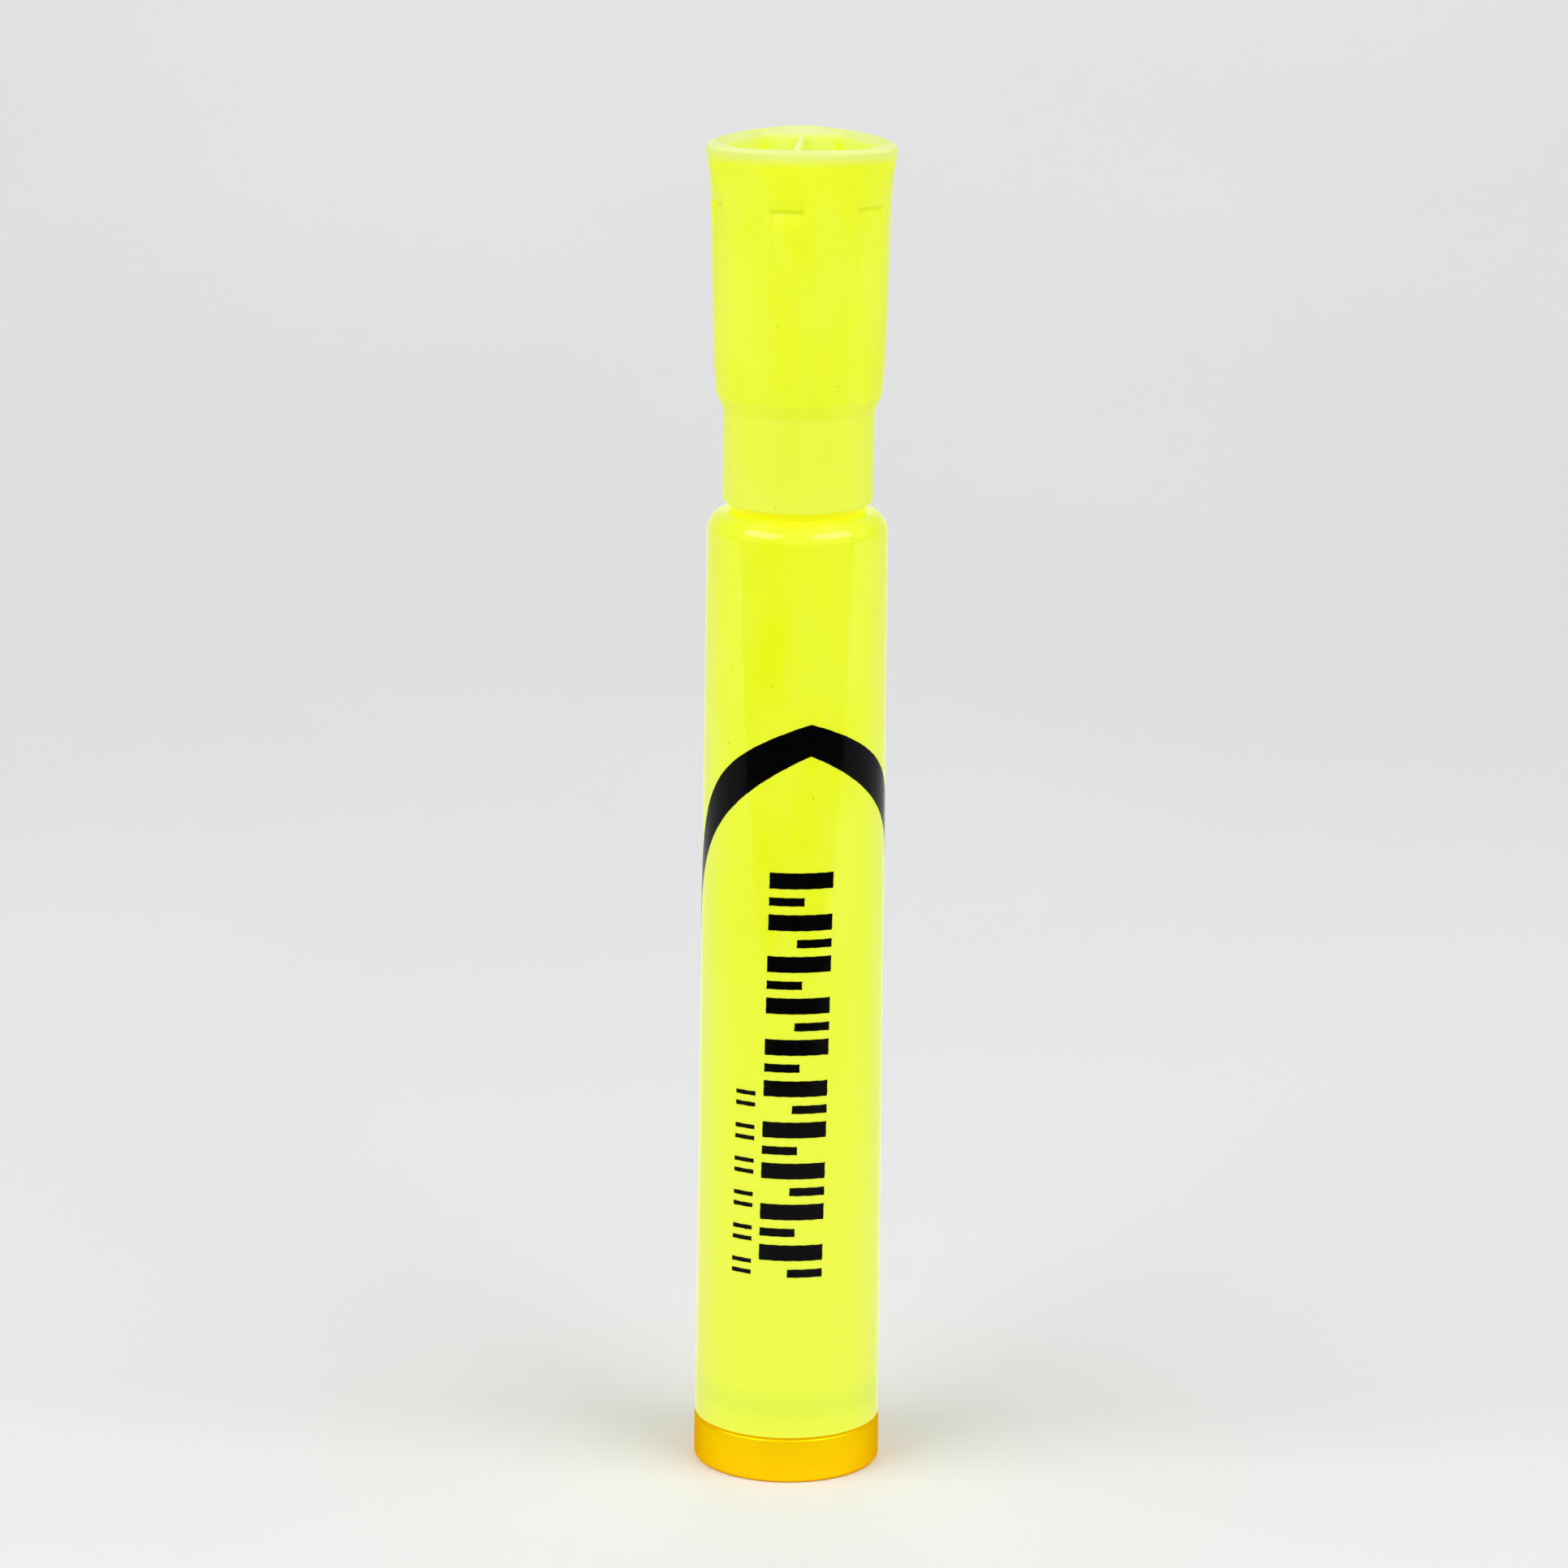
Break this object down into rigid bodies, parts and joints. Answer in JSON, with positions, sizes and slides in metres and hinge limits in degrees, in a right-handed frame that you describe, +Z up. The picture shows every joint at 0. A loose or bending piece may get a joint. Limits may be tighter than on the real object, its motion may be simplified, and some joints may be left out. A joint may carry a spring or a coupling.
{
  "type": "twist highlighter",
  "caption": "Capped highlighter that stands on a gold twist ring: the ring screws a chisel nib out of the nose under a fluted pull-off cap with a rounded-triangle rim.",
  "frame": {"origin": "centre of the foot, on the surface that the highlighter stands on", "axes": "+Z up the barrel's axis towards the cap's open rim; -Y is the front, with one flat side of the rim and two of its corners left and right of it"},
  "size_m": [0.018, 0.0191, 0.1294],
  "materials": {
    "barrel_plastic": "glossy translucent fluorescent yellow",
    "cap_plastic": "satin fluorescent yellow",
    "nose_plastic": "satin yellow",
    "gold_metal": "gold anodised, semi-gloss",
    "core_plastic": "moulded amber",
    "foot_rubber": "matte",
    "seal_rubber": "matte",
    "inner_plastic": "moulded natural white",
    "cartridge_plastic": "smooth translucent white",
    "liner_plastic": "moulded pale yellow",
    "ink_felt": "ink-soaked fibre",
    "film": "clear film",
    "nib_felt": "pressed felt",
    "steel": "turned"
  },
  "bodies": {
    "barrel": {"barrel": "barrel_plastic", "nose": "nose_plastic", "nose_o_ring": "seal_rubber", "nib_wiper": "seal_rubber", "guide_sleeve": "inner_plastic", "end_bush": "inner_plastic", "thrust_washer": "steel"},
    "twist_base": {"base_ring": "gold_metal", "base_core": "core_plastic", "base_pad": "foot_rubber", "drive_screw": "inner_plastic", "retaining_clip": "steel", "knob_o_ring": "seal_rubber"},
    "cartridge": {"carrier": "inner_plastic", "follower_pins": "steel", "cartridge_plug": "inner_plastic", "cartridge_tube": "cartridge_plastic", "ink_reservoir": "ink_felt", "reservoir_film": "film", "nib_holder": "inner_plastic", "chisel_nib": "nib_felt"},
    "cap": {"cap_shell": "cap_plastic", "cap_liner": "liner_plastic", "cap_gasket": "seal_rubber"}
  },
  "joints": [
    {"name": "cap_pull", "type": "slide", "parent": "barrel", "child": "cap", "axis": [0, 0, 1], "range_m": [0, 0.04]},
    {"name": "base_twist", "type": "hinge", "parent": "barrel", "child": "twist_base", "pos_m": [0, 0, 0.002], "axis": [0, 0, -1], "range_deg": [0, 360]},
    {"name": "nib_travel", "type": "slide", "parent": "barrel", "child": "cartridge", "axis": [0, 0, 1], "range_m": [0, 0.008]}
  ],
  "couplings": [
    {"joint": "base_twist", "follows": "nib_travel", "rad_per_m": 785.4}
  ]
}
